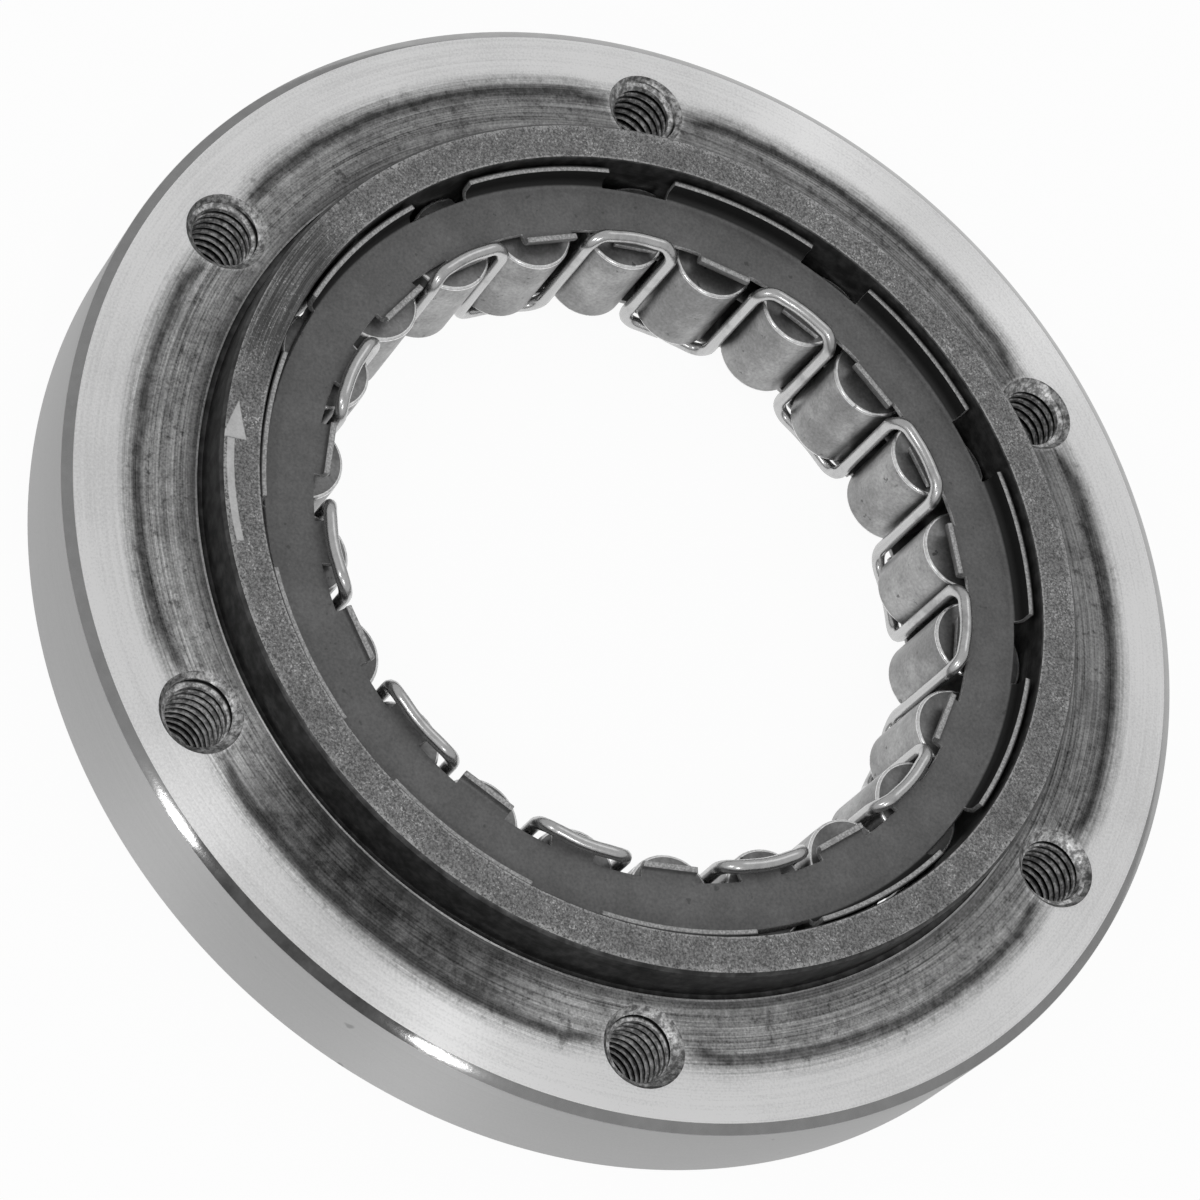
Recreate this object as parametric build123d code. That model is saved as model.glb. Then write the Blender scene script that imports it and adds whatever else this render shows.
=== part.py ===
from build123d import *
from math import acos, atan2, cos, hypot, radians, sin, sqrt
import os

# Lengths are in millimetres and angles in degrees, counted anticlockwise from hole 1
# as seen from the rim side. The origin is on the clutch axis, on the flat back face.
# +Z points out of the rim and +X goes through hole 1.

# Housing: flange, spigot rim and through race, turned from one forging
face_z = 11.2
rim_height = 4.3
rim_z = face_z + rim_height
race_r = 36.95
race_mouth = 0.12
rim_wall = 3.55
rim_r = race_r + rim_wall
rim_edge = 0.3
groove_width = 0.58
groove_depth = 0.4

# Six tapped holes through the flange, M6 with a countersunk mouth on the rim side
hole_count = 6
hole_land = 5.25
hole_circle_r = rim_r + hole_land
tap_drill_r = 2.5
hole_mouth_r = 3.6
flange_margin = 7.0
flange_r = hole_circle_r + flange_margin
front_chamfer_radial = 0.9
front_chamfer_axial = 0.55
back_chamfer = 1.2

# Sprags: rocking cams that lean a little ahead of the tabs of the cage
sprag_count = 22
sprag_pitch = 360 / sprag_count
first_tab_angle = 2.9
sprag_lead = 1.15
sprag_length = 9.5
sprag_stand = 0.45
sprag_stagger = 0.4
front_sprag_top = face_z + sprag_stand
rear_sprag_top = front_sprag_top - sprag_stagger
nose_r = 3.85
cam_height = 1.26 * nose_r
nose_axis_r = race_r - cam_height
cam_gap = 0.08
cam_drop = 0.33
cam_r = cam_height - cam_gap + cam_drop
cam_offset = 0.41 * nose_r
cam_left_x = -0.42 * nose_r
cam_right_x = 0.9 * nose_r
cam_corner_r = 0.12 * nose_r

# Front cage plate: pressed sheet ring with a rolled rim cut into lips
sheet = 0.55
plate_gap = 0.37
plate_z = front_sprag_top + plate_gap + sheet
lip_clearance = 0.3
lip_face_r = race_r - lip_clearance - sheet
lip_height = 1.98
lip_z = plate_z + lip_height
lip_bend = 1.2
lip_angle = 22.6
notch_inset = 0.3
plate_width = 4.9
window_r = lip_face_r - plate_width
tab_height = 0.65
tab_reach = 1.3
tab_bend = 0.3
tab_width = 5.0
tongue_reach = 1.3
tongue_width = 4.1
root_overlap = 0.6

# Rear cage plate: flat sheet ring, notched in the same places, with fingers at the bore
rear_gap = 0.15
rear_plate_z = rear_sprag_top - sprag_length - rear_gap - sheet
rear_plate_r = race_r - lip_clearance
rear_notch_depth = 0.75
rear_tongue_reach = 0.5
rear_shelf_reach = 0.75
rear_shelf_width = 7.8

# Spring: one zig-zag wire with a leg in every valley between the sprags
wire_r = 0.6
wire_sides = 8
leg_inset = 1.5
leg_r = window_r - leg_inset
leg_angle = 8.0
bend_angle = 2.4
bend_height = 1.3
front_loop_lift = 0.93
front_wire_z = plate_z + front_loop_lift
front_loop_out = 0.5
front_bend_r = leg_r + front_loop_out
front_loop_arch = 0.1
front_middle_r = front_bend_r + front_loop_arch
rear_loop_drop = 0.35
rear_wire_z = rear_plate_z - rear_loop_drop
rear_loop_out = 0.1
rear_bend_r = leg_r + rear_loop_out
wire_end_gap = 0.7


def polar(radius, angle, z=0.0):
    """Point at a radius and an angle around the clutch axis."""
    return Vector(radius * cos(radians(angle)), radius * sin(radians(angle)), z)


def turned(*corners):
    """Solid of revolution around Z from (radius, z) corners."""
    return revolve(Plane.XZ * make_face(Polyline(*corners, close=True)), Axis.Z)


def around(solid, angles):
    """Copies of a solid turned to each angle around the clutch axis."""
    return [Rot(0, 0, angle) * solid for angle in angles]


def tab_angles(first, step):
    """Angles of every tab and tongue, or of every other one when the step is 2."""
    return [first_tab_angle + i * sprag_pitch for i in range(first, sprag_count, step)]


def tapped_hole():
    """Cutter for one through hole with a 45 degree mouth on the rim side."""
    mouth_depth = hole_mouth_r - tap_drill_r
    return turned(
        (0, 0),
        (tap_drill_r, 0),
        (tap_drill_r, face_z - mouth_depth),
        (hole_mouth_r, face_z),
        (0, face_z),
    )


def housing():
    """Flange with its chamfers, relief groove, spigot rim, race and bolt holes."""
    groove_r = rim_r + groove_width
    body = turned(
        (race_r, 0),
        (flange_r - back_chamfer, 0),
        (flange_r, back_chamfer),
        (flange_r, face_z - front_chamfer_axial),
        (flange_r - front_chamfer_radial, face_z),
        (groove_r, face_z),
        (groove_r, face_z - groove_depth),
        (rim_r, face_z - groove_depth),
        (rim_r, rim_z - rim_edge),
        (rim_r - rim_edge, rim_z),
        (race_r + race_mouth, rim_z),
        (race_r, rim_z - race_mouth),
    )
    hole = Pos(hole_circle_r, 0, 0) * tapped_hole()
    return body - around(hole, [i * 360 / hole_count for i in range(hole_count)])


def nose_tangent(corner, side):
    """Point where the flank from a cam corner touches the nose arc."""
    x, y = corner
    angle = atan2(y, x) - side * acos(nose_r / hypot(x, y))
    return (nose_r * cos(angle), nose_r * sin(angle))


def sprag_profile():
    """Nose arc on the bore side, two flanks and the offset cam arc that meets the race."""
    cam_axis_r = race_r - cam_gap - cam_r
    cam_y = sqrt(cam_axis_r**2 - cam_offset**2) - nose_axis_r
    left = (cam_left_x, cam_y + sqrt(cam_r**2 - (cam_left_x - cam_offset) ** 2))
    right = (cam_right_x, cam_y + sqrt(cam_r**2 - (cam_right_x - cam_offset) ** 2))
    left_foot = nose_tangent(left, -1)
    right_foot = nose_tangent(right, 1)
    outline = [
        ThreePointArc(left_foot, (0, -nose_r), right_foot),
        Line(right_foot, right),
        ThreePointArc(right, (cam_offset, cam_y + cam_r), left),
        Line(left, left_foot),
    ]
    face = make_face(Curve() + outline)
    cam_corners = [v for v in face.vertices() if hypot(v.X, v.Y) > nose_r + cam_gap]
    return fillet(cam_corners, cam_corner_r)


def sprag(index):
    """One sprag. Those under a front wire loop sit forward, the others sit back."""
    top = front_sprag_top if index % 2 == 0 else rear_sprag_top
    blank = extrude(sprag_profile(), sprag_length)
    # local +Y is outward, local +X is clockwise around the clutch axis
    turn = Rot(0, 0, first_tab_angle + sprag_lead + index * sprag_pitch - 90)
    return turn * Pos(0, nose_axis_r, top - sprag_length) * blank


def rim_cutter(inner_r, outer_r, width, bottom, top):
    """Ring sector centred on +X, used to cut one notch into a plate rim."""
    half = width / 2
    outline = [
        Line(polar(inner_r, -half), polar(outer_r, -half)),
        ThreePointArc(polar(outer_r, -half), polar(outer_r, 0), polar(outer_r, half)),
        Line(polar(outer_r, half), polar(inner_r, half)),
        ThreePointArc(polar(inner_r, half), polar(inner_r, 0), polar(inner_r, -half)),
    ]
    return Pos(0, 0, bottom) * extrude(make_face(Curve() + outline), top - bottom)


def notches(inner_r, bottom, top):
    """Cutters for the gaps between lips, centred on the tongues of the front plate."""
    width = 2 * sprag_pitch - lip_angle
    cutter = rim_cutter(inner_r, race_r, width, bottom, top)
    return around(cutter, tab_angles(0, 2))


def tongue(reach, width, bottom):
    """Flat finger of a plate over the end of one sprag."""
    length = reach + root_overlap
    finger = Box(length, width, sheet, align=(Align.MIN, Align.CENTER, Align.MIN))
    return Pos(window_r - reach, 0, bottom) * finger


def tab():
    """Finger bent up at a right angle, the bend drawn as a bevel."""
    face_r = window_r - tab_reach
    back_r = face_r + sheet
    root = window_r + root_overlap
    bottom = plate_z - sheet
    top = plate_z + tab_height
    side = make_face(
        Polyline(
            (root, bottom),
            (back_r, bottom),
            (face_r, bottom + sheet),
            (face_r, top),
            (back_r, top),
            (back_r, plate_z + tab_bend),
            (back_r + tab_bend, plate_z),
            (root, plate_z),
            close=True,
        )
    )
    return extrude(Plane.XZ * side, tab_width / 2, both=True)


def front_plate():
    """Sheet ring with eleven lips outside and tabs and tongues in turn inside."""
    bottom = plate_z - sheet
    lip_back_r = lip_face_r + sheet
    outer_bend = lip_bend + sheet / 2
    dish = turned(
        (window_r, bottom),
        (lip_back_r - outer_bend, bottom),
        (lip_back_r, bottom + outer_bend),
        (lip_back_r, lip_z),
        (lip_face_r, lip_z),
        (lip_face_r, plate_z + lip_bend),
        (lip_face_r - lip_bend, plate_z),
        (window_r, plate_z),
    )
    dish = dish - notches(lip_face_r - notch_inset, bottom - sheet, lip_z + sheet)
    dish = dish + around(tongue(tongue_reach, tongue_width, bottom), tab_angles(0, 2))
    return dish + around(tab(), tab_angles(1, 2))


def rear_plate():
    """Flat sheet ring with short tongues and, behind the rear wire loops, wide shelves."""
    top = rear_plate_z + sheet
    disc = turned(
        (window_r, rear_plate_z),
        (rear_plate_r, rear_plate_z),
        (rear_plate_r, top),
        (window_r, top),
    )
    notch_r = rear_plate_r - rear_notch_depth
    disc = disc - notches(notch_r, rear_plate_z - sheet, top + sheet)
    narrow = tongue(rear_tongue_reach, tongue_width, rear_plate_z)
    shelf = tongue(rear_shelf_reach, rear_shelf_width, rear_plate_z)
    return disc + around(narrow, tab_angles(0, 2)) + around(shelf, tab_angles(1, 2))


def front_loop(angle):
    """Points of the wire from one leg over a front sprag end to the next leg."""
    foot_z = front_wire_z - bend_height
    return [
        polar(leg_r, angle - leg_angle, foot_z),
        polar(front_bend_r, angle - leg_angle + bend_angle, front_wire_z),
        polar(front_middle_r, angle, front_wire_z),
        polar(front_bend_r, angle + leg_angle - bend_angle, front_wire_z),
        polar(leg_r, angle + leg_angle, foot_z),
    ]


def rear_loop(angle):
    """Points of the wire from one leg over a rear sprag end to the next leg."""
    half = sprag_pitch - leg_angle
    foot_z = rear_wire_z + bend_height
    return [
        polar(leg_r, angle - half, foot_z),
        polar(rear_bend_r, angle - half + bend_angle, rear_wire_z),
        polar(rear_bend_r, angle + half - bend_angle, rear_wire_z),
        polar(leg_r, angle + half, foot_z),
    ]


def spring():
    """Zig-zag wire, front and rear loops in turn, its ends butted in a rear loop."""
    first = first_tab_angle + sprag_lead
    split = rear_loop(first - sprag_pitch)
    path = split[2:]
    for i in range(sprag_count - 1):
        angle = first + i * sprag_pitch
        path += front_loop(angle) if i % 2 == 0 else rear_loop(angle)
    path += split[:2]
    # both wire ends stop short of the middle of the split loop
    middle = (split[1] + split[2]) / 2
    to_start = (split[2] - middle).normalized()
    to_end = (split[1] - middle).normalized()
    start = middle + to_start * wire_end_gap / 2
    end = middle + to_end * wire_end_gap / 2
    # an eight-sided section keeps the facets of the long sweep few
    section = Plane(origin=start, z_dir=to_start) * RegularPolygon(wire_r, wire_sides)
    return sweep(section, path=Polyline(start, *path, end), transition=Transition.RIGHT)


parts = {
    "housing": housing(),
    "front_cage_plate": front_plate(),
    "rear_cage_plate": rear_plate(),
    "zigzag_spring": spring(),
}
for number in range(sprag_count):
    parts[f"sprag_{number + 1:02d}"] = sprag(number)

os.makedirs("parts", exist_ok=True)
for name, solid in parts.items():
    export_step(solid, f"parts/{name}.step")
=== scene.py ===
import bmesh
import bpy
from math import acos, asin, atan2, cos, degrees, hypot, pi, radians, sin, sqrt
from mathutils import Matrix, Vector


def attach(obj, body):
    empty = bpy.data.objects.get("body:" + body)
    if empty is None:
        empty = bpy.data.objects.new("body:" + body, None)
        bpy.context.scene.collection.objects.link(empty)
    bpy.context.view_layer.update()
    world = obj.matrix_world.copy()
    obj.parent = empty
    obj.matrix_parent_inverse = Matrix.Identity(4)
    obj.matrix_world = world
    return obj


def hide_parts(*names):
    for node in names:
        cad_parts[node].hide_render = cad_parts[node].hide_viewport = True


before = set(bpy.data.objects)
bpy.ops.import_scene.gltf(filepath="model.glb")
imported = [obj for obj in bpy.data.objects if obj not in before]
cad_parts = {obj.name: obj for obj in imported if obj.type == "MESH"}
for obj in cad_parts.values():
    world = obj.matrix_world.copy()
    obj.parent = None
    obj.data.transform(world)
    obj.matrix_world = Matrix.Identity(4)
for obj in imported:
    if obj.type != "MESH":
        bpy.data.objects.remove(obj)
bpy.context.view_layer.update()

# Camera and table
# The photograph looks down on the rim side from about 55 degrees, with a long lens.
# The clutch lies flat on its back face on a plain white surface.
scene = bpy.context.scene
scene.view_settings.view_transform = "Standard"

camera_data = bpy.data.cameras.new("photo_camera")
camera_data.lens = 129.343
camera_data.sensor_width = 36.0
camera_data.sensor_fit = "AUTO"
camera = bpy.data.objects.new("photo_camera", camera_data)
camera_right = Vector((0.00608, -0.91718, 0.39842))
camera_up = Vector((0.89489, 0.18279, 0.40713))
camera_back = Vector((-0.44624, 0.35407, 0.82189))
camera_place = Vector((-0.171417, 0.135961, 0.316895))
camera.matrix_world = Matrix((
    (camera_right.x, camera_up.x, camera_back.x, camera_place.x),
    (camera_right.y, camera_up.y, camera_back.y, camera_place.y),
    (camera_right.z, camera_up.z, camera_back.z, camera_place.z),
    (0.0, 0.0, 0.0, 1.0),
))
scene.collection.objects.link(camera)
scene.camera = camera


class Field:
    """A number that varies over a surface: a node socket that can be calculated with."""

    def __init__(self, finish, socket):
        self.finish = finish
        self.socket = socket

    def __add__(self, other):
        return self.finish.calc("ADD", self, other)

    __radd__ = __add__

    def __sub__(self, other):
        return self.finish.calc("SUBTRACT", self, other)

    def __rsub__(self, other):
        return self.finish.calc("SUBTRACT", other, self)

    def __mul__(self, other):
        return self.finish.calc("MULTIPLY", self, other)

    __rmul__ = __mul__

    def __truediv__(self, other):
        return self.finish.calc("DIVIDE", self, other)

    def __pow__(self, other):
        return self.finish.calc("POWER", self, other)


class Finish:
    """One surface finish: a node material around a single Principled shader."""

    def __init__(self, name, metallic, roughness):
        self.material = bpy.data.materials.new(name)
        self.material.use_nodes = True
        self.tree = self.material.node_tree
        self.shader = self.tree.nodes["Principled BSDF"]
        self.shader.inputs["Metallic"].default_value = metallic
        self.shader.inputs["Roughness"].default_value = roughness

    def node(self, kind, settings, sockets):
        """Any node: its settings are set first, then values or links of its sockets."""
        made = self.tree.nodes.new("ShaderNode" + kind)
        for key, value in settings.items():
            setattr(made, key, value)
        for key, value in sockets.items():
            self.plug(made.inputs[key], value)
        return made

    def plug(self, socket, value):
        if isinstance(value, Field):
            self.tree.links.new(value.socket, socket)
        elif isinstance(value, bpy.types.NodeSocket):
            self.tree.links.new(value, socket)
        else:
            socket.default_value = value

    def calc(self, operation, first, second=0.0, third=0.0):
        made = self.node("Math", {"operation": operation}, {0: first, 1: second, 2: third})
        return Field(self, made.outputs[0])

    def place(self):
        """Object coordinates of the surface point, in metres."""
        return self.node("TexCoord", {}, {}).outputs["Object"]

    def axes(self):
        """Object coordinates as three fields in millimetres."""
        split = self.node("SeparateXYZ", {}, {0: self.place()})
        return [Field(self, split.outputs[i]) * 1000.0 for i in range(3)]

    def radius(self):
        x, y, _ = self.axes()
        return self.calc("SQRT", x * x + y * y)

    def vector(self, x, y, z):
        return self.node("CombineXYZ", {}, {0: x, 1: y, 2: z}).outputs[0]

    def noise(self, where, scale, detail=3.0, rough=0.5):
        made = self.node("TexNoise", {"noise_dimensions": "3D"},
                         {"Vector": where, "Scale": scale, "Detail": detail, "Roughness": rough})
        return Field(self, made.outputs["Fac"])

    def band(self, value, low, high):
        """0 below low, 1 above high, smooth between; low may be above high."""
        made = self.node("MapRange", {"interpolation_type": "SMOOTHSTEP"},
                         {"Value": value, "From Min": low, "From Max": high})
        return Field(self, made.outputs["Result"])

    def blend(self, mask, under, over):
        """Colour mix. Colours are greys or sockets."""
        made = self.node("Mix", {"data_type": "RGBA"}, {"Factor": mask})
        for name, value in (("A", under), ("B", over)):
            target = [s for s in made.inputs if s.name == name and s.type == "RGBA"][0]
            if isinstance(value, float):
                value = (value, value, value, 1.0)
            self.plug(target, value)
        return [s for s in made.outputs if s.type == "RGBA"][0]

    def tint(self, colour, factor):
        """A colour made lighter or darker by a field."""
        made = self.node("VectorMath", {"operation": "SCALE"}, {0: colour, "Scale": factor})
        return made.outputs[0]

    def bump(self, height, distance, strength):
        made = self.node("Bump", {}, {"Height": height, "Distance": distance,
                                      "Strength": strength})
        return made.outputs["Normal"]

    def set(self, name, value):
        self.plug(self.shader.inputs[name], value)


table_half = 3.0
table_drop = 0.00005
table_glow_share = 0.95
table_finish = Finish("white_table", 0.0, 0.6)
table_finish.set("Base Color", (0.86, 0.86, 0.86, 1.0))
light_path = table_finish.node("LightPath", {}, {})
seen = table_finish.calc("MAXIMUM", Field(table_finish, light_path.outputs["Is Camera Ray"]),
                         Field(table_finish, light_path.outputs["Is Glossy Ray"]))
seen = table_finish.calc("MAXIMUM", seen,
                         Field(table_finish, light_path.outputs["Is Transmission Ray"]))
glow = table_finish.node("Emission", {}, {"Color": (1.0, 1.0, 1.0, 1.0), "Strength": 1.0})
soft_shadow = table_finish.node("MixShader", {}, {
    0: seen * table_glow_share, 1: table_finish.shader.outputs[0], 2: glow.outputs[0]})
table_surface = table_finish.tree.nodes["Material Output"].inputs["Surface"]
table_finish.plug(table_surface, soft_shadow.outputs[0])
table_mesh = bmesh.new()
bmesh.ops.create_grid(table_mesh, x_segments=1, y_segments=1, size=table_half)
table_data = bpy.data.meshes.new("table")
table_mesh.to_mesh(table_data)
table_mesh.free()
table = bpy.data.objects.new("table", table_data)
table.location.z = -table_drop
table_data.materials.append(table_finish.material)
scene.collection.objects.link(table)


# Studio light
# A white room, a wide soft light behind the clutch that the flat faces mirror, and two
# small lamps beside the camera, which draw two bright spokes on the turned steel.
room_strength = 0.56
lamp_distance = 0.7
world = bpy.data.worlds.new("white_room")
world.use_nodes = True
scene.world = world
room = world.node_tree
room_path = room.nodes.new("ShaderNodeLightPath")
room_seen = room.nodes.new("ShaderNodeMath")
room_seen.operation = "MAXIMUM"
room.links.new(room_path.outputs["Is Camera Ray"], room_seen.inputs[0])
room.links.new(room_path.outputs["Is Transmission Ray"], room_seen.inputs[1])
room_mix = room.nodes.new("ShaderNodeMixShader")
room_light = room.nodes["Background"]
room_light.inputs["Color"].default_value = (1.0, 1.0, 1.0, 1.0)
room_light.inputs["Strength"].default_value = room_strength
room_white = room.nodes.new("ShaderNodeBackground")
room_white.inputs["Color"].default_value = (1.0, 1.0, 1.0, 1.0)
room_white.inputs["Strength"].default_value = 1.0
room.links.new(room_seen.outputs[0], room_mix.inputs[0])
room.links.new(room_light.outputs[0], room_mix.inputs[1])
room.links.new(room_white.outputs[0], room_mix.inputs[2])
room.links.new(room_mix.outputs[0], room.nodes["World Output"].inputs["Surface"])


def lamp(name, azimuth, elevation, size, watts):
    """Round soft lamp facing the clutch. The angles are in degrees, the size in metres."""
    around, up = radians(azimuth), radians(elevation)
    place = lamp_distance * Vector((cos(around) * cos(up), sin(around) * cos(up), sin(up)))
    data = bpy.data.lights.new(name, "AREA")
    data.shape = "DISK"
    data.size = size
    data.energy = watts
    made = bpy.data.objects.new(name, data)
    made.location = place
    made.rotation_euler = (-place).to_track_quat("-Z", "Y").to_euler()
    scene.collection.objects.link(made)


lamp("back_light", -38.5, 55.0, 0.32, 0.17)
lamp("left_lamp", 174.0, 45.0, 0.05, 0.45)
lamp("right_lamp", 118.0, 45.0, 0.05, 0.45)


# Housing
# One steel forging turned all over: bolting flange, relief groove, spigot rim and the
# hardened race. Six M6 holes are tapped right through with a countersunk mouth. The
# front is faced in fine rings, and the race has tinted it where it was hardened.
mm = 0.001
face_z = 11.2 * mm
rim_z = 15.5 * mm
race_r = 36.95 * mm
rim_r = 40.5 * mm
groove_r = 41.08 * mm
groove_z = face_z - 0.4 * mm
flange_r = 52.75 * mm
hole_circle_r = 45.75 * mm
hole_count = 6
thread_pitch = 1.0 * mm
thread_crest_r = 2.72 * mm
thread_root_r = 3.25 * mm
hole_mouth_r = 3.72 * mm
back_chamfer = 1.2 * mm
front_chamfer_width = 0.9 * mm
front_chamfer_depth = 0.55 * mm
rim_chamfer = 0.3 * mm
race_chamfer = 0.12 * mm


def add_object(name, mesh, finishes, body, material_slot, *nodes):
    """Object at the origin with its finishes, riding on a body in place of CAD nodes."""
    for finish in finishes:
        mesh.materials.append(finish.material)
    made = bpy.data.objects.new(name, mesh)
    scene.collection.objects.link(made)
    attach(made, body)
    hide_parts(*nodes)
    return made


def wire(bm, points):
    """Open chain of edges through the points."""
    verts = [bm.verts.new(point) for point in points]
    return verts, [bm.edges.new(pair) for pair in zip(verts, verts[1:])]


def eased(bm, verts, reach, segments=3):
    """Rounds the inner corners of an open chain."""
    bmesh.ops.bevel(bm, geom=verts[1:-1], affect="VERTICES", offset=reach, offset_type="OFFSET",
                    segments=segments, profile=0.5, material=-1)


def finish_mesh(bm, name, sharp_angle):
    """Mesh with outward normals, smooth except at sharp angles."""
    bmesh.ops.recalc_face_normals(bm, faces=bm.faces[:])
    for face in bm.faces:
        face.smooth = True
    mesh = bpy.data.meshes.new(name)
    bm.to_mesh(mesh)
    bm.free()
    mesh.set_sharp_from_angle(angle=radians(sharp_angle))
    return mesh


def spun(bm, geom, steps):
    """Full turn of the chain around the clutch axis."""
    bmesh.ops.spin(bm, geom=geom, cent=(0, 0, 0), axis=(0, 0, 1), angle=2 * pi, steps=steps,
                   use_merge=True)


housing_bm = bmesh.new()
outer_profile = [
    (flange_r - back_chamfer, 0, 0), (flange_r, 0, back_chamfer),
    (flange_r, 0, face_z - front_chamfer_depth), (flange_r - front_chamfer_width, 0, face_z),
]
inner_profile = [
    (groove_r, 0, face_z), (groove_r, 0, groove_z), (rim_r, 0, groove_z),
    (rim_r, 0, rim_z - rim_chamfer), (rim_r - rim_chamfer, 0, rim_z),
    (race_r + race_chamfer, 0, rim_z), (race_r, 0, rim_z - race_chamfer), (race_r, 0, 0),
]
for profile in (outer_profile, inner_profile):
    chain, _ = wire(housing_bm, profile)
    eased(housing_bm, chain, 0.05 * mm)
spun(housing_bm, housing_bm.verts[:] + housing_bm.edges[:], 360)


def tapped_hole():
    """Screw thread wall of one hole, cut off at both faces, with its countersunk mouth."""
    bm = bmesh.new()
    flats = ((0.0, thread_crest_r), (0.38, thread_crest_r),
             (0.56, thread_root_r), (0.78, thread_root_r))
    points = []
    for turn in range(-1, 13):
        for share, r in flats:
            points.append((r, 0, (turn + share) * thread_pitch))
    wire(bm, points)
    steps = 48
    bmesh.ops.spin(bm, geom=bm.verts[:] + bm.edges[:], cent=(0, 0, 0), axis=(0, 0, 1),
                   dvec=(0, 0, thread_pitch / steps), angle=2 * pi, steps=steps, use_merge=False)
    bmesh.ops.remove_doubles(bm, verts=bm.verts[:], dist=0.001 * mm)
    for vert in bm.verts:
        r = hypot(vert.co.x, vert.co.y)
        mouth = hole_mouth_r - max(0.0, face_z - vert.co.z)
        if r < mouth:
            grow = mouth / r
            vert.co.x *= grow
            vert.co.y *= grow
    for level, up in ((face_z, 1), (0.0, -1)):
        bmesh.ops.bisect_plane(bm, geom=bm.verts[:] + bm.edges[:] + bm.faces[:], dist=0.0001 * mm,
                               plane_co=(0, 0, level), plane_no=(0, 0, up), clear_outer=True)
    bmesh.ops.translate(bm, verts=bm.verts[:], vec=(hole_circle_r, 0, 0))
    return bm


for hole in range(hole_count):
    hole_bm = tapped_hole()
    bmesh.ops.rotate(hole_bm, verts=hole_bm.verts[:], cent=(0, 0, 0),
                     matrix=Matrix.Rotation(2 * pi * hole / hole_count, 3, "Z"))
    hole_data = bpy.data.meshes.new("hole")
    hole_bm.to_mesh(hole_data)
    hole_bm.free()
    housing_bm.from_mesh(hole_data)
    bpy.data.meshes.remove(hole_data)

for level in (0.0, face_z):
    rims = [e for e in housing_bm.edges if e.is_boundary
            and all(abs(v.co.z - level) < 0.002 * mm for v in e.verts)]
    bmesh.ops.triangle_fill(housing_bm, use_beauty=True, edges=rims, normal=(0, 0, 1))
bmesh.ops.remove_doubles(housing_bm, verts=housing_bm.verts[:], dist=0.0005 * mm)

FACE, WALL, RIM_TOP, BORE, THREAD, CHAMFER = range(6)
for face in housing_bm.faces:
    centre = face.calc_center_median()
    r = hypot(centre.x, centre.y)
    if r > 51.2 * mm and centre.z < face_z - 0.02 * mm:
        on_chamfer = r < flange_r - 0.2 * mm and centre.z > groove_z
        face.material_index = CHAMFER if on_chamfer else WALL
    elif centre.z > rim_z - 0.02 * mm:
        face.material_index = RIM_TOP
    elif (r < rim_r + 0.02 * mm and centre.z > groove_z - 0.01 * mm) or r < race_r + 0.3 * mm:
        face.material_index = BORE
    elif abs(centre.z - face_z) < 0.01 * mm or r > 49.5 * mm or centre.z < 0.01 * mm:
        face.material_index = FACE
    elif r < groove_r + 0.01 * mm:
        face.material_index = BORE
    else:
        face.material_index = THREAD


def turned(name, metallic, roughness):
    """Finish with fine rings: they draw a lamp out across them, into a bright spoke."""
    made = Finish(name, metallic, roughness)
    made.shader.inputs["Anisotropic"].default_value = 0.95
    made.shader.inputs["Anisotropic Rotation"].default_value = 0.25
    return made


def hole_distance(finish, x, y):
    """Millimetres to the nearest hole's axis, folded into one sixth of the flange."""
    r = finish.calc("SQRT", x * x + y * y)
    folded = finish.calc("WRAP", finish.calc("ARCTAN2", y, x), pi / hole_count, -pi / hole_count)
    along = r * finish.calc("COSINE", folded) - hole_circle_r / mm
    across = r * finish.calc("SINE", folded)
    return finish.calc("SQRT", along ** 2.0 + across ** 2.0)


turned_face = turned("turned_face", 0.85, 0.48)
x, y, z = turned_face.axes()
r = turned_face.radius()
rings = turned_face.noise(turned_face.vector(r * 6.0, x * 0.03, y * 0.03), 1.0, 3.0, 0.65)
arcs = turned_face.noise(turned_face.vector(r * 2.2, x * 0.06, y * 0.06), 1.0, 3.0, 0.6)
haze = turned_face.noise(turned_face.place(), 48.0, 4.0, 0.6)
grain = turned_face.noise(turned_face.place(), 4200.0, 3.0, 0.65)
cloud = turned_face.noise(turned_face.place(), 190.0, 5.0, 0.62)
flecks = turned_face.noise(turned_face.place(), 1300.0, 3.0, 0.6)
hole_gap = hole_distance(turned_face, x, y)
# the hardening tint: light outside, a dark line at 46.3 mm that dips and fades at each
# hole, and a mid grey ring of scale inside it, darker on one side of the flange
near_hole = turned_face.band(hole_gap, 8.0, 4.0)
tint_r = r + near_hole * 0.5 + (cloud - 0.5) * 0.7
inside = turned_face.band(tint_r, 48.6, 46.2)
line = (turned_face.band(tint_r, 47.2, 46.4) * turned_face.band(tint_r, 45.5, 46.2)
        * (turned_face.band(hole_gap, 3.9, 5.6) * 0.75 + 0.25) * (flecks * 0.9 + 0.5))
foot = turned_face.band(tint_r, 42.6, 41.3)
degree = turned_face.calc("ARCTAN2", y, x) * degrees(1.0)
sooty = (turned_face.band(degree, 122.0, 134.0) * turned_face.band(degree, 172.0, 160.0)
         * turned_face.band(tint_r, 47.6, 45.8))
scale = turned_face.band(cloud * 0.5 + flecks * 0.5, 0.44, 0.58)
scale_patch = turned_face.noise(turned_face.place(), 420.0, 4.0, 0.7)
burr = turned_face.band(hole_gap + flecks * 0.8, 4.45, 4.15)
base = turned_face.blend(inside, 0.94, 0.455)
base = turned_face.blend(inside * scale * 0.55, base, 0.22)
base = turned_face.blend(inside * turned_face.band(scale_patch, 0.52, 0.66) * 0.6, base, 0.55)
base = turned_face.blend(line * 0.9, base, 0.085)
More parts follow.
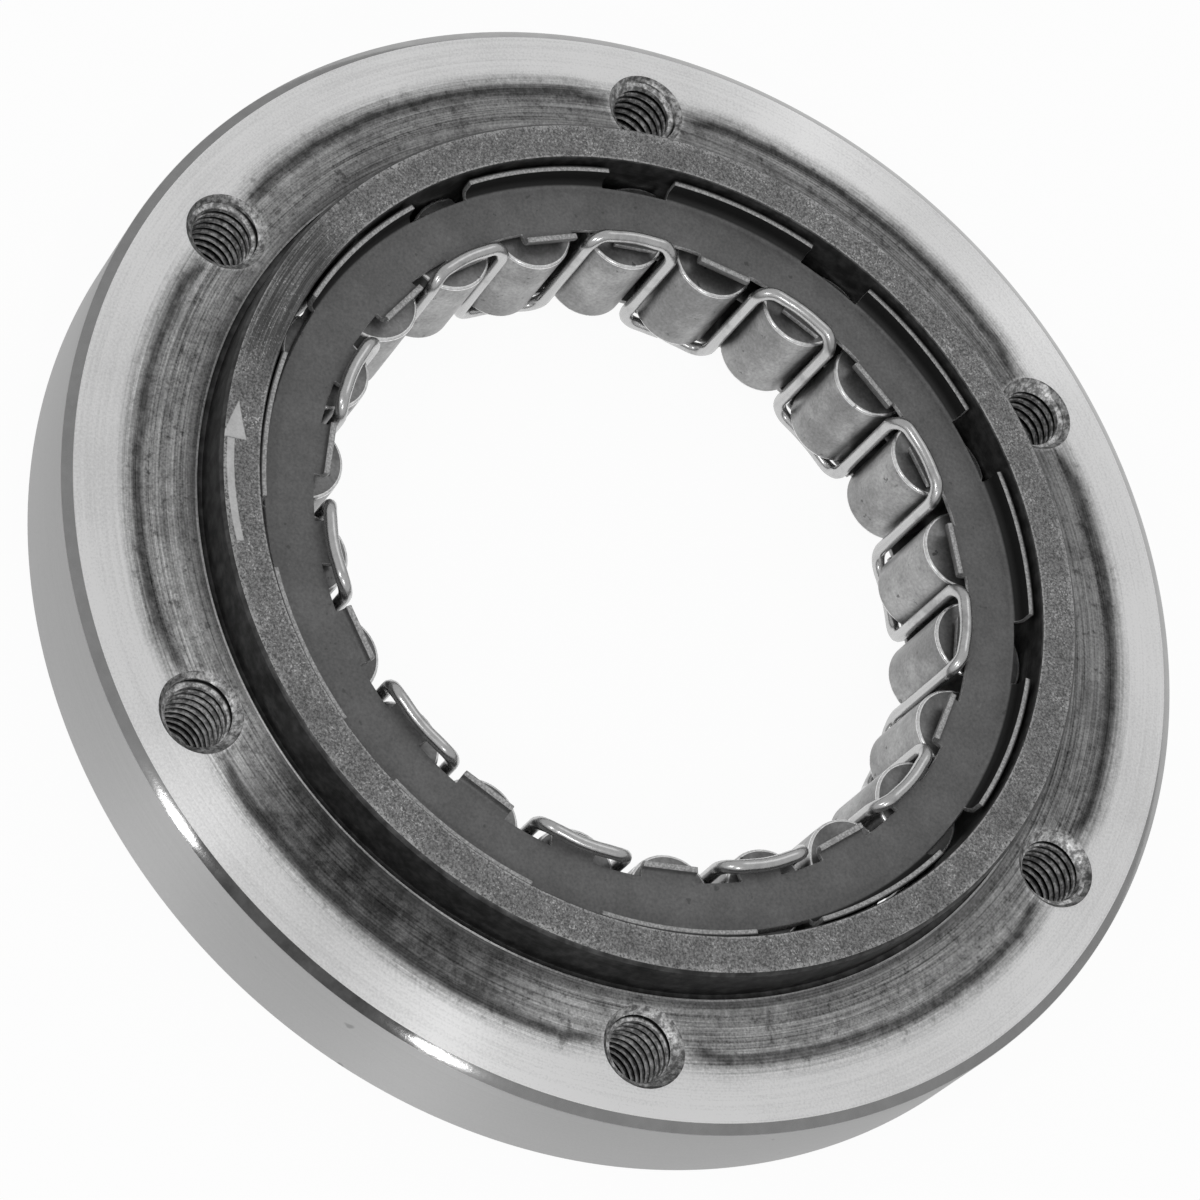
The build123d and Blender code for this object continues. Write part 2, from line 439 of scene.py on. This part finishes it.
base = turned_face.blend(inside * turned_face.band(flecks, 0.60, 0.70) * 0.6, base, 0.10)
base = turned_face.blend(foot * 0.6, base, 0.07)
soot_cover = turned_face.band(scale_patch, 0.35, 0.65) * 0.30 + 0.70
base = turned_face.blend(sooty * soot_cover, base, 0.05)
base = turned_face.tint(base, inside * (y * 0.0045 - x * 0.005) + 1.0)
base = turned_face.blend(burr * 0.35, base, 0.85)
base = turned_face.blend(turned_face.band(r, 41.30, 41.22) * 0.55, base, 0.90)
base = turned_face.tint(base, (rings - 0.5) * (inside * 2.0 + 0.35)
                        + (arcs - 0.5) * (inside * 1.7 + 0.15)
                        + (grain - 0.5) * (inside * 1.2 + 0.6) + (haze - 0.5) * 0.55 + 1.0)
turned_face.set("Base Color", base)
turned_face.set("Roughness", inside * 0.08 + grain * 0.10 + 0.42)
relief = rings * 0.7 + grain * 0.25 + flecks * inside * 0.3
turned_face.set("Normal", turned_face.bump(relief, 0.00003, 0.6))

turned_wall = turned("turned_wall", 0.85, 0.48)
x, y, z = turned_wall.axes()
turning = turned_wall.noise(turned_wall.vector(z * 5.0, x * 0.02, y * 0.02), 1.0, 3.0, 0.6)
fleck = turned_wall.noise(turned_wall.place(), 5200.0, 3.0, 0.65)
dent = turned_wall.noise(turned_wall.place(), 420.0, 2.0, 0.5)
base = turned_wall.blend(turned_wall.band(dent, 0.72, 0.78) * 0.6, 0.51, 0.25)
turned_wall.set("Base Color", turned_wall.tint(
    base, (turning - 0.5) * 0.12 + (fleck - 0.5) * 0.16 + 1.0))
turned_wall.set("Normal", turned_wall.bump(turning * 0.5 + fleck * 0.2, 0.00002, 0.5))

# the outer chamfer: bright, with a stained stretch between two rubbed places
chamfer = Finish("turned_chamfer", 0.9, 0.11)
x, y, z = chamfer.axes()
degree = chamfer.calc("ARCTAN2", y, x) * degrees(1.0)
stain = chamfer.noise(chamfer.place(), 500.0, 4.0, 0.7)
ragged = degree + stain * 3.0
stretch = chamfer.band(ragged, 130.5, 133.5) * chamfer.band(ragged, 160.0, 157.0)
chamfer.set("Base Color", chamfer.tint(
    chamfer.blend(stretch * 0.9, 0.34, 0.10), (stain - 0.5) * (stretch * 1.2 + 0.4) + 1.0))
chamfer.set("Normal", chamfer.bump(stain, 0.00002, 0.4))

rim_face = Finish("rim_face", 0.6, 0.5)
x, y, z = rim_face.axes()
r = rim_face.radius()
speck = rim_face.noise(rim_face.place(), 4600.0, 4.0, 0.8)
patch = rim_face.noise(rim_face.place(), 420.0, 4.0, 0.65)
hairs = rim_face.noise(rim_face.vector(r * 8.0, x * 0.1, y * 0.1), 1.0, 2.0, 0.6)
# direction arrow marked on the rim top: a straight-sided head and a bent shaft
turn = rim_face.calc("ARCTAN2", y, x) * degrees(1.0)
tip_angle = 83.9
neck_angle = 89.3
arrow_r = 39.3
head_half = 1.05
head = (turn - tip_angle) / (neck_angle - tip_angle)
in_head = (rim_face.band(head, 0.0, 0.04) * rim_face.band(head, 1.0, 0.96)
           * rim_face.band(rim_face.calc("ABSOLUTE", r - arrow_r) - head * head_half, 0.06, -0.06))
shaft_r = 39.62 - ((turn - neck_angle) / 13.8) ** 2.0 * 0.24
in_shaft = (rim_face.band(turn, 89.2, 89.4) * rim_face.band(turn, 103.2, 102.9)
            * rim_face.band(rim_face.calc("ABSOLUTE", r - shaft_r), 0.36, 0.28))
arrow = rim_face.calc("MAXIMUM", in_head, in_shaft)
smear = (rim_face.band(turn, 50.0, 60.0) * rim_face.band(turn, 84.0, 72.0)
         * rim_face.band(r, 41.0, 39.6))
edge_wear = rim_face.band(r + (patch - 0.5) * 1.6, 39.6, 40.4) + rim_face.band(r, 37.3, 37.12)
glitter = rim_face.noise(rim_face.place(), 5200.0, 2.0, 0.5)
rim_base = rim_face.blend(rim_face.band(speck, 0.34, 0.70), 0.08, 0.35)
bright_grains = rim_face.band(glitter, 0.58, 0.68) * rim_face.band(patch, 0.38, 0.60)
rim_base = rim_face.blend(bright_grains, rim_base, 0.52)
rim_base = rim_face.blend(rim_face.band(glitter, 0.36, 0.28) * 0.6, rim_base, 0.05)
rim_base = rim_face.blend(edge_wear * rim_face.band(speck, 0.38, 0.56) * 0.8, rim_base, 0.48)
smear_streaks = smear * rim_face.band(hairs * 0.6 + speck * 0.4, 0.42, 0.54)
rim_base = rim_face.blend(smear_streaks * 0.8, rim_base, 0.035)
rim_base = rim_face.blend(arrow * (speck * 0.5 + 0.62), rim_base, 0.62)
rim_face.set("Base Color", rim_face.tint(rim_base, (patch - 0.5) * 0.6 + 1.0))
rim_face.set("Normal", rim_face.bump(speck - arrow * 1.5, 0.00002, 0.6))

# race bore, groove and rim wall painted near black: painted shade for the shade inside the
# housing, with turning lines and mottling
bore_shade = Finish("bore_painted_shade", 0.75, 0.38)
x, y, z = bore_shade.axes()
lines = bore_shade.noise(bore_shade.vector(z * 8.0, x * 0.04, y * 0.04), 1.0, 2.0, 0.5)
soot = bore_shade.noise(bore_shade.place(), 900.0, 3.0, 0.6)
base = bore_shade.blend(bore_shade.band(soot, 0.30, 0.80), 0.035, 0.10)
bore_shade.set("Base Color", bore_shade.tint(base, (lines - 0.5) * 0.5 + 1.0))
bore_shade.set("Normal", bore_shade.bump(lines + soot * 0.4, 0.00002, 0.7))

cut_thread = Finish("cut_thread", 0.7, 0.4)
x, y, z = cut_thread.axes()
from_axis = hole_distance(cut_thread, x, y)
chip = cut_thread.noise(cut_thread.place(), 1800.0, 4.0, 0.7)
mouth = cut_thread.band(z, 10.72, 10.84)
# the crest radius, or the countersink's where it cuts the first turns
crest = cut_thread.calc("MAXIMUM", z - (face_z - hole_mouth_r) / mm, thread_crest_r / mm)
# thread roots painted near black as shade; the first lies open to the light, so its painted shadow
# is narrower
first_turn = cut_thread.band(z, 9.7, 10.2)
root_shade = cut_thread.band(from_axis - crest - first_turn * 0.2, 0.06, 0.22)
base = cut_thread.blend(cut_thread.band(chip, 0.38, 0.68), 0.20, 0.90)
# darker deeper into the hole: painted shade
base = cut_thread.tint(base, cut_thread.band(z, 1.5, 9.0) * 0.75 + 0.25)
base = cut_thread.blend(root_shade, base, 0.004)
torn_mouth = cut_thread.blend(cut_thread.band(chip, 0.38, 0.62), 0.16, 0.62)
base = cut_thread.blend(mouth, base, torn_mouth)
cut_thread.set("Base Color", base)
cut_thread.set("Normal", cut_thread.bump(chip, 0.00003, 0.6))

housing_mesh = finish_mesh(housing_bm, "housing", 28)
housing_finishes = (turned_face, turned_wall, rim_face, bore_shade, cut_thread, chamfer)
add_object("housing", housing_mesh, housing_finishes, "housing", "ground_steel", "housing")


# Front cage plate
# Pressed from 0.55 mm sheet and dark phosphated. The rolled rim is cut into eleven lips
# that centre the cage in the race; the bore has eleven flat tongues and, between them,
# eleven tabs bent up at a right angle.
sheet = 0.55 * mm
sprag_count = 22
sprag_pitch = 2 * pi / sprag_count
first_tab = radians(2.9)
plate_top = face_z + 1.37 * mm
plate_mid = plate_top - sheet / 2
window_r = 31.2 * mm
notch_r = 35.8 * mm
steps_per_pitch = 32
plate_steps = sprag_count * steps_per_pitch
lip_gap_steps = 10
sheet_round = 0.07 * mm
tongue_half = 2.05 * mm
tab_half = 2.5 * mm
tongue_tip_r = 29.9 * mm


def arc(centre_r, centre_z, radius, start, stop, count):
    """Points on an arc in the radial plane, angles in degrees."""
    return [(centre_r + radius * cos(radians(start + (stop - start) * i / count)), 0,
             centre_z + radius * sin(radians(start + (stop - start) * i / count)))
            for i in range(count + 1)]


def step_of(angle):
    """Steps of the spin from an angle to the nearest finger, and that finger's number."""
    from_first = (angle - first_tab) / sprag_pitch
    number = round(from_first)
    return (from_first - number) * steps_per_pitch, number % sprag_count


def ring(bm, profile):
    """Ring of the profile in 704 steps, each tongue centred between two spin lines or on one."""
    turn_in = Matrix.Rotation(first_tab, 3, "Z")
    chain, edges = wire(bm, [turn_in @ Vector(point) for point in profile])
    spun(bm, chain + edges, plate_steps)


def cut_rim(bm, from_r, half_steps):
    """Removes the rim outside from_r over the fingers with even numbers."""
    gone = []
    for face in bm.faces:
        centre = face.calc_center_median()
        off, number = step_of(atan2(centre.y, centre.x))
        if number % 2 == 0 and abs(off) < half_steps and hypot(centre.x, centre.y) > from_r:
            gone.append(face)
    bmesh.ops.delete(bm, geom=gone, context="FACES")


def draw_fingers(bm, half_width, shape, chosen):
    """Extrudes the bore edge inwards through the (radius, z) stations, one finger at a time."""
    bore = [e for e in bm.edges if e.is_boundary
            and all(hypot(v.co.x, v.co.y) < window_r + 0.02 * mm for v in e.verts)]
    for number in range(sprag_count):
        if not chosen(number):
            continue
        angle = first_tab + number * sprag_pitch
        out = Vector((cos(angle), sin(angle), 0))
        along = Vector((-sin(angle), cos(angle), 0))
        edges = [e for e in bore if e.is_valid
                 and all(abs(v.co.dot(along)) < half_width + 0.10 * mm and v.co.dot(out) > 0
                         for v in e.verts)]
        for radius, height in shape:
            made = bmesh.ops.extrude_edge_only(bm, edges=edges)
            verts = [v for v in made["geom"] if isinstance(v, bmesh.types.BMVert)]
            edges = [e for e in made["geom"] if isinstance(e, bmesh.types.BMEdge)]
            reach = max(abs(v.co.dot(along)) for v in verts)
            for vert in verts:
                side = vert.co.dot(along) * half_width / reach
                vert.co = out * radius + along * side + Vector((0, 0, height))


front_bm = bmesh.new()
lip_mid_r = 36.1 * mm + sheet / 2
bend_mid = 0.9 * mm + sheet / 2
bend_centre_r = lip_mid_r - bend_mid
bend_centre_z = plate_mid + bend_mid
notch_angle = degrees(asin((notch_r - 0.1 * mm - bend_centre_r) / bend_mid)) - 90
front_profile = [(window_r, 0, plate_mid), (31.9 * mm, 0, plate_mid)]
front_profile += arc(bend_centre_r, bend_centre_z, bend_mid, -90, notch_angle, 5)
front_profile += arc(bend_centre_r, bend_centre_z, bend_mid, notch_angle, 0, 5)[1:]
front_profile += [(lip_mid_r, 0, face_z + 3.35 * mm)]
ring(front_bm, front_profile)
cut_rim(front_bm, notch_r - 0.1 * mm, lip_gap_steps)
tab_mid_r = tongue_tip_r + sheet / 2
tab_bend = 0.35 * mm + sheet / 2
tab_shape = [(tab_mid_r + tab_bend - tab_bend * sin(radians(a)),
              plate_mid + tab_bend - tab_bend * cos(radians(a)))
             for a in (0, 22.5, 45, 67.5, 90)]
tab_shape += [(tab_mid_r, face_z + 2.02 * mm)]
draw_fingers(front_bm, tongue_half, [(tongue_tip_r, plate_mid)], lambda number: number % 2 == 0)
draw_fingers(front_bm, tab_half, tab_shape, lambda number: number % 2 == 1)

phosphate = Finish("phosphated_sheet", 0.35, 0.55)
x, y, z = phosphate.axes()
scratch_warp = phosphate.noise(phosphate.place(), 120.0, 2.0, 0.5)
scratch_place = phosphate.vector(x * 1.1 + scratch_warp * 2.0, y * 0.07, z * 0.2)
scratch = phosphate.noise(scratch_place, 3.0, 4.0, 0.7)
crystal = phosphate.noise(phosphate.place(), 3600.0, 3.0, 0.65)
patch = phosphate.noise(phosphate.place(), 260.0, 5.0, 0.65)
pit = phosphate.noise(phosphate.place(), 900.0, 3.0, 0.6)
base = phosphate.blend(phosphate.band(patch, 0.35, 0.7), 0.132, 0.172)
base = phosphate.blend(phosphate.band(scratch, 0.66, 0.76) * 0.35, base, 0.22)
base = phosphate.blend(phosphate.band(pit, 0.66, 0.74) * 0.55, base, 0.03)
base = phosphate.blend(phosphate.band(pit, 0.32, 0.27) * 0.5, base, 0.26)
# the lip above the bend painted near black: painted shade for the shadow on its inner wall
lip_wall_shade = phosphate.band(z, 12.62, 12.76) * phosphate.band(phosphate.radius(), 33.0, 33.6)
base = phosphate.blend(lip_wall_shade * 0.97, base, 0.004)
phosphate.set("Base Color", phosphate.tint(base, (crystal - 0.5) * 1.0 + 1.0))
phosphate.set("Roughness", patch * 0.15 + 0.48)
phosphate.set("Normal", phosphate.bump(crystal * 0.5 + pit * 0.4, 0.00002, 0.5))


sheared = Finish("sheared_edge", 0.6, 0.42)
burr = sheared.noise(sheared.place(), 5200.0, 3.0, 0.7)
# cut edges beyond 36.5 mm painted dark: painted shade, so only the inner half of the lip's top
# edge shows bright
lip_back_shade = sheared.band(sheared.radius(), 36.46, 36.54)
base = sheared.blend(sheared.band(burr, 0.35, 0.7), 0.26, 0.55)
sheared.set("Base Color", sheared.blend(lip_back_shade * 0.9, base, 0.05))
sheared.set("Normal", sheared.bump(burr, 0.00002, 0.5))


def thicken(piece, depth, edge):
    """Sheet thickness around the middle surface, then a small edge round."""
    wall = piece.modifiers.new("sheet_thickness", "SOLIDIFY")
    wall.thickness = depth
    wall.offset = 0.0
    wall.use_even_offset = True
    wall.material_offset_rim = 1
    soft = piece.modifiers.new("sheet_edge", "BEVEL")
    soft.width = edge
    soft.segments = 2
    soft.limit_method = "ANGLE"
    soft.angle_limit = radians(45)
    soft.profile = 0.5


front_mesh = finish_mesh(front_bm, "front_cage_plate", 40)
front_plate = add_object("front_cage_plate", front_mesh, (phosphate, sheared),
                         "cage", "phosphated_sheet", "front_cage_plate")
thicken(front_plate, sheet, sheet_round)


# Rear cage plate
# The second pressed ring, flat, behind the sprags, notched in the same places. Wide
# shelves reach in over the rear wire loops, with short tongues between them.
rear_mid = 1.05 * mm + sheet / 2
rear_notch_r = 35.9 * mm
rear_plate_r = 36.65 * mm
rear_tongue_r = 30.7 * mm
shelf_tip_r = 30.38 * mm
shelf_half = 4.4 * mm
rear_bm = bmesh.new()
ring(rear_bm, [(r, 0, rear_mid) for r in (window_r, 33.5 * mm, rear_notch_r, rear_plate_r)])
cut_rim(rear_bm, rear_notch_r, lip_gap_steps)
draw_fingers(rear_bm, tongue_half, [(rear_tongue_r, rear_mid)], lambda number: number % 2 == 0)
draw_fingers(rear_bm, shelf_half, [(shelf_tip_r, rear_mid)], lambda number: number % 2 == 1)
rear_mesh = finish_mesh(rear_bm, "rear_cage_plate", 40)
rear_plate = add_object("rear_cage_plate", rear_mesh, (phosphate, sheared),
                        "cage", "phosphated_sheet", "rear_cage_plate")
thicken(rear_plate, sheet, sheet_round)


# Zig-zag spring
# One length of bright drawn wire, 1.2 mm thick, bent on a former: a straight leg
# between each two sprags, a loop over every second sprag in front and one over the
# others behind. The two ends stop a little short of each other in a loop at the back.
wire_r = 0.6 * mm
leg_r = 29.7 * mm
leg_angle = radians(8.0)
bend = 1.7 * mm
front_loop_z = face_z + 2.3 * mm
rear_loop_z = 0.7 * mm
wire_end_gap = 0.7 * mm
sprag_lead = radians(1.15)
first_sprag = first_tab + sprag_lead


def around(radius, angle, height):
    return Vector((radius * cos(angle), radius * sin(angle), height))


def loop_points(angle, half, corner_r, middle_r, height, side):
    """Bend points of one loop as (place, handle) pairs, from its first leg to its last."""
    corner = half - bend / corner_r
    up = Vector((0, 0, side))
    made = []
    foot = height - side * bend
    for sign in (-1, 1):
        at = angle + sign * corner
        tangent = Vector((-sin(at), cos(at), 0))
        tail = [(around(leg_r, angle + sign * half, foot), -sign * up * bend * 0.55),
                (around(corner_r, at, height), tangent * bend * 0.55)]
        made += tail if sign < 0 else tail[::-1]
        if sign < 0:
            tangent = Vector((-sin(angle), cos(angle), 0))
            made.append((around(middle_r, angle, height), tangent * 1.2 * mm))
    return made


def front_loop(angle):
    return loop_points(angle, leg_angle, 30.2 * mm, 30.3 * mm, front_loop_z, 1)


def rear_loop(angle):
    return loop_points(angle, sprag_pitch - leg_angle, 29.8 * mm, 29.85 * mm, rear_loop_z, -1)


split_loop = rear_loop(first_sprag - sprag_pitch)
route = split_loop[3:]
for i in range(sprag_count - 1):
    angle = first_sprag + i * sprag_pitch
    route += front_loop(angle) if i % 2 == 0 else rear_loop(angle)
route += split_loop[:2]
middle = split_loop[2][0]
start = middle + (split_loop[3][0] - middle).normalized() * wire_end_gap / 2
stop = middle + (split_loop[1][0] - middle).normalized() * wire_end_gap / 2
route = [(start, split_loop[3][1])] + route + [(stop, split_loop[1][1])]

spring_curve = bpy.data.curves.new("zigzag_spring", "CURVE")
spring_curve.dimensions = "3D"
spring_curve.bevel_depth = wire_r
spring_curve.bevel_resolution = 4
spring_curve.resolution_u = 8
spring_curve.use_fill_caps = True
spline = spring_curve.splines.new("BEZIER")
spline.bezier_points.add(len(route) - 1)
for point, (place, handle) in zip(spline.bezier_points, route):
    point.handle_left_type = "FREE"
    point.handle_right_type = "FREE"
    point.co = place
    point.handle_left = place - handle
    point.handle_right = place + handle
curve_object = bpy.data.objects.new("spring_route", spring_curve)
spring_mesh = bpy.data.meshes.new_from_object(curve_object)
bpy.data.objects.remove(curve_object)
spring_bm = bmesh.new()
spring_bm.from_mesh(spring_mesh)
bpy.data.meshes.remove(spring_mesh)
bmesh.ops.remove_doubles(spring_bm, verts=spring_bm.verts[:], dist=0.0005 * mm)

drawn_wire = Finish("drawn_wire", 0.95, 0.25)
x, y, z = drawn_wire.axes()
drawing = drawn_wire.noise(drawn_wire.vector(x * 1.5, y * 1.5, z * 0.1), 1.6, 3.0, 0.6)
smut = drawn_wire.noise(drawn_wire.place(), 330.0, 4.0, 0.65)
base = drawn_wire.blend(drawn_wire.band(smut, 0.52, 0.76) * 0.6, 0.56, 0.22)
drawn_wire.set("Base Color", drawn_wire.tint(base, (drawing - 0.5) * 0.35 + 1.0))
drawn_wire.set("Roughness", smut * 0.12 + 0.21)
drawn_wire.set("Normal", drawn_wire.bump(drawing, 0.00001, 0.3))
add_object("zigzag_spring", finish_mesh(spring_bm, "zigzag_spring", 50), (drawn_wire,),
           "cage", "spring_wire", "zigzag_spring")


# Sprags
# Twenty-two hardened rocking cams cut from one drawn profile and tumbled satin. The
# round nose runs on the hub, the offset cam arc jams in the race, and both ends have
# a bright ground bevel.
sprag_length = 9.5 * mm
nose_r = 3.85 * mm
cam_height = 1.26 * nose_r
cam_gap = 0.08 * mm
cam_r = cam_height + 0.25 * mm
cam_offset = 0.41 * nose_r
nose_axis_r = race_r - cam_height
cam_axis_y = sqrt((race_r - cam_gap - cam_r) ** 2 - cam_offset ** 2) - nose_axis_r
cam_left_x = -0.42 * nose_r
cam_right_x = 0.9 * nose_r
cam_corner_r = 0.12 * nose_r
sprag_edge = 0.25 * mm
even_sprag_rise = 0.45 * mm
odd_sprag_rise = 0.05 * mm


def swung(bm, centre, start, angle, steps):
    """Arc of edges made by swinging one vertex about a centre, anticlockwise when positive."""
    vert = bm.verts.new(start)
    made = bmesh.ops.spin(bm, geom=[vert], cent=centre, axis=(0, 0, 1), angle=angle, steps=steps)
    last = [v for v in made["geom_last"] if isinstance(v, bmesh.types.BMVert)][0]
    return vert, last


def nose_tangent(corner, side):
    """Angle on the nose arc where the flank from a cam corner touches it."""
    return atan2(corner.y, corner.x) - side * acos(nose_r / corner.length)


FLANK, END, EDGE = range(3)


def sprag_mesh(index):
    """One sprag: the closed profile filled, drawn out to length, its ends bevelled."""
    bm = bmesh.new()
    cam_centre = Vector((cam_offset, cam_axis_y, 0))
    corners = []
    for cam_x in (cam_left_x, cam_right_x):
        rise = sqrt(cam_r ** 2 - (cam_x - cam_offset) ** 2)
        corners.append(Vector((cam_x, cam_axis_y + rise, 0)))
    left, right = corners
    left_turn = nose_tangent(left, -1)
    right_turn = nose_tangent(right, 1)
    sweep = (right_turn - left_turn) % (2 * pi)
    nose_start = nose_r * Vector((cos(left_turn), sin(left_turn), 0))
    nose_first, nose_last = swung(bm, (0, 0, 0), nose_start, sweep, 40)
    from_right = right - cam_centre
    cam_sweep = from_right.xy.angle_signed((left - cam_centre).xy)
    cam_first, cam_last = swung(bm, cam_centre, right, abs(cam_sweep), 18)
    bm.edges.new((nose_last, cam_first))
    bm.edges.new((cam_last, nose_first))
    bmesh.ops.bevel(bm, geom=[cam_first, cam_last], affect="VERTICES", offset=cam_corner_r * 0.7,
                    offset_type="OFFSET", segments=4, profile=0.5, material=-1)
    end = bmesh.ops.contextual_create(bm, geom=bm.edges[:])["faces"]
    drawn = bmesh.ops.extrude_face_region(bm, geom=end)["geom"]
    bmesh.ops.translate(bm, verts=[v for v in drawn if isinstance(v, bmesh.types.BMVert)],
                        vec=(0, 0, sprag_length))
    caps = [f for f in bm.faces if len(f.verts) > 20]
    rims = {e for f in caps for e in f.edges}
    bmesh.ops.bevel(bm, geom=list(rims), affect="EDGES", offset=sprag_edge, offset_type="OFFSET",
                    segments=3, profile=0.5, material=-1)
    for face in bm.faces:
        flat_end = abs(face.normal.z) > 0.98
        on_edge = not flat_end and abs(face.normal.z) > 0.05
        face.material_index = END if flat_end else EDGE if on_edge else FLANK
    top = face_z + (even_sprag_rise if index % 2 == 0 else odd_sprag_rise)
    lift = Matrix.Translation((0, nose_axis_r, top - sprag_length))
    turn = Matrix.Rotation(first_sprag + index * sprag_pitch - pi / 2, 4, "Z")
    bmesh.ops.transform(bm, matrix=turn @ lift, verts=bm.verts[:])
    return finish_mesh(bm, f"sprag_{index + 1:02d}", 50)


def steel(name, dark, light, metallic, rough):
    """Tumbled hardened steel, with satin haze and small dark pits."""
    made = Finish(name, metallic, rough)
    satin = made.noise(made.place(), 3200.0, 3.0, 0.65)
    haze = made.noise(made.place(), 190.0, 4.0, 0.6)
    pit = made.noise(made.place(), 900.0, 3.0, 0.55)
    pits = made.band(pit, 0.66, 0.72)
    base = made.blend(made.band(haze, 0.35, 0.7), dark, light)
    base = made.blend(pits * 0.7, base, dark * 0.25)
    made.set("Base Color", made.tint(base, (satin - 0.5) * 1.0 + 1.0))
    made.set("Roughness", haze * 0.15 + rough - 0.07)
    made.set("Normal", made.bump(satin * 0.4 - pits * 0.6, 0.00002, 0.4))
    return made


tumbled = steel("tumbled_flank", 0.24, 0.44, 0.85, 0.36)
# the sprag ends: darker steel, painted shade for the shadow of the tabs and plates over them
painted_end_shade = steel("sprag_end_painted_shade", 0.12, 0.26, 0.75, 0.40)
tumbled_edge = steel("ground_edge", 0.80, 0.92, 0.9, 0.28)

for index in range(sprag_count):
    name = f"sprag_{index + 1:02d}"
    add_object(name, sprag_mesh(index), (tumbled, painted_end_shade, tumbled_edge),
               name, "sprag_steel", name)
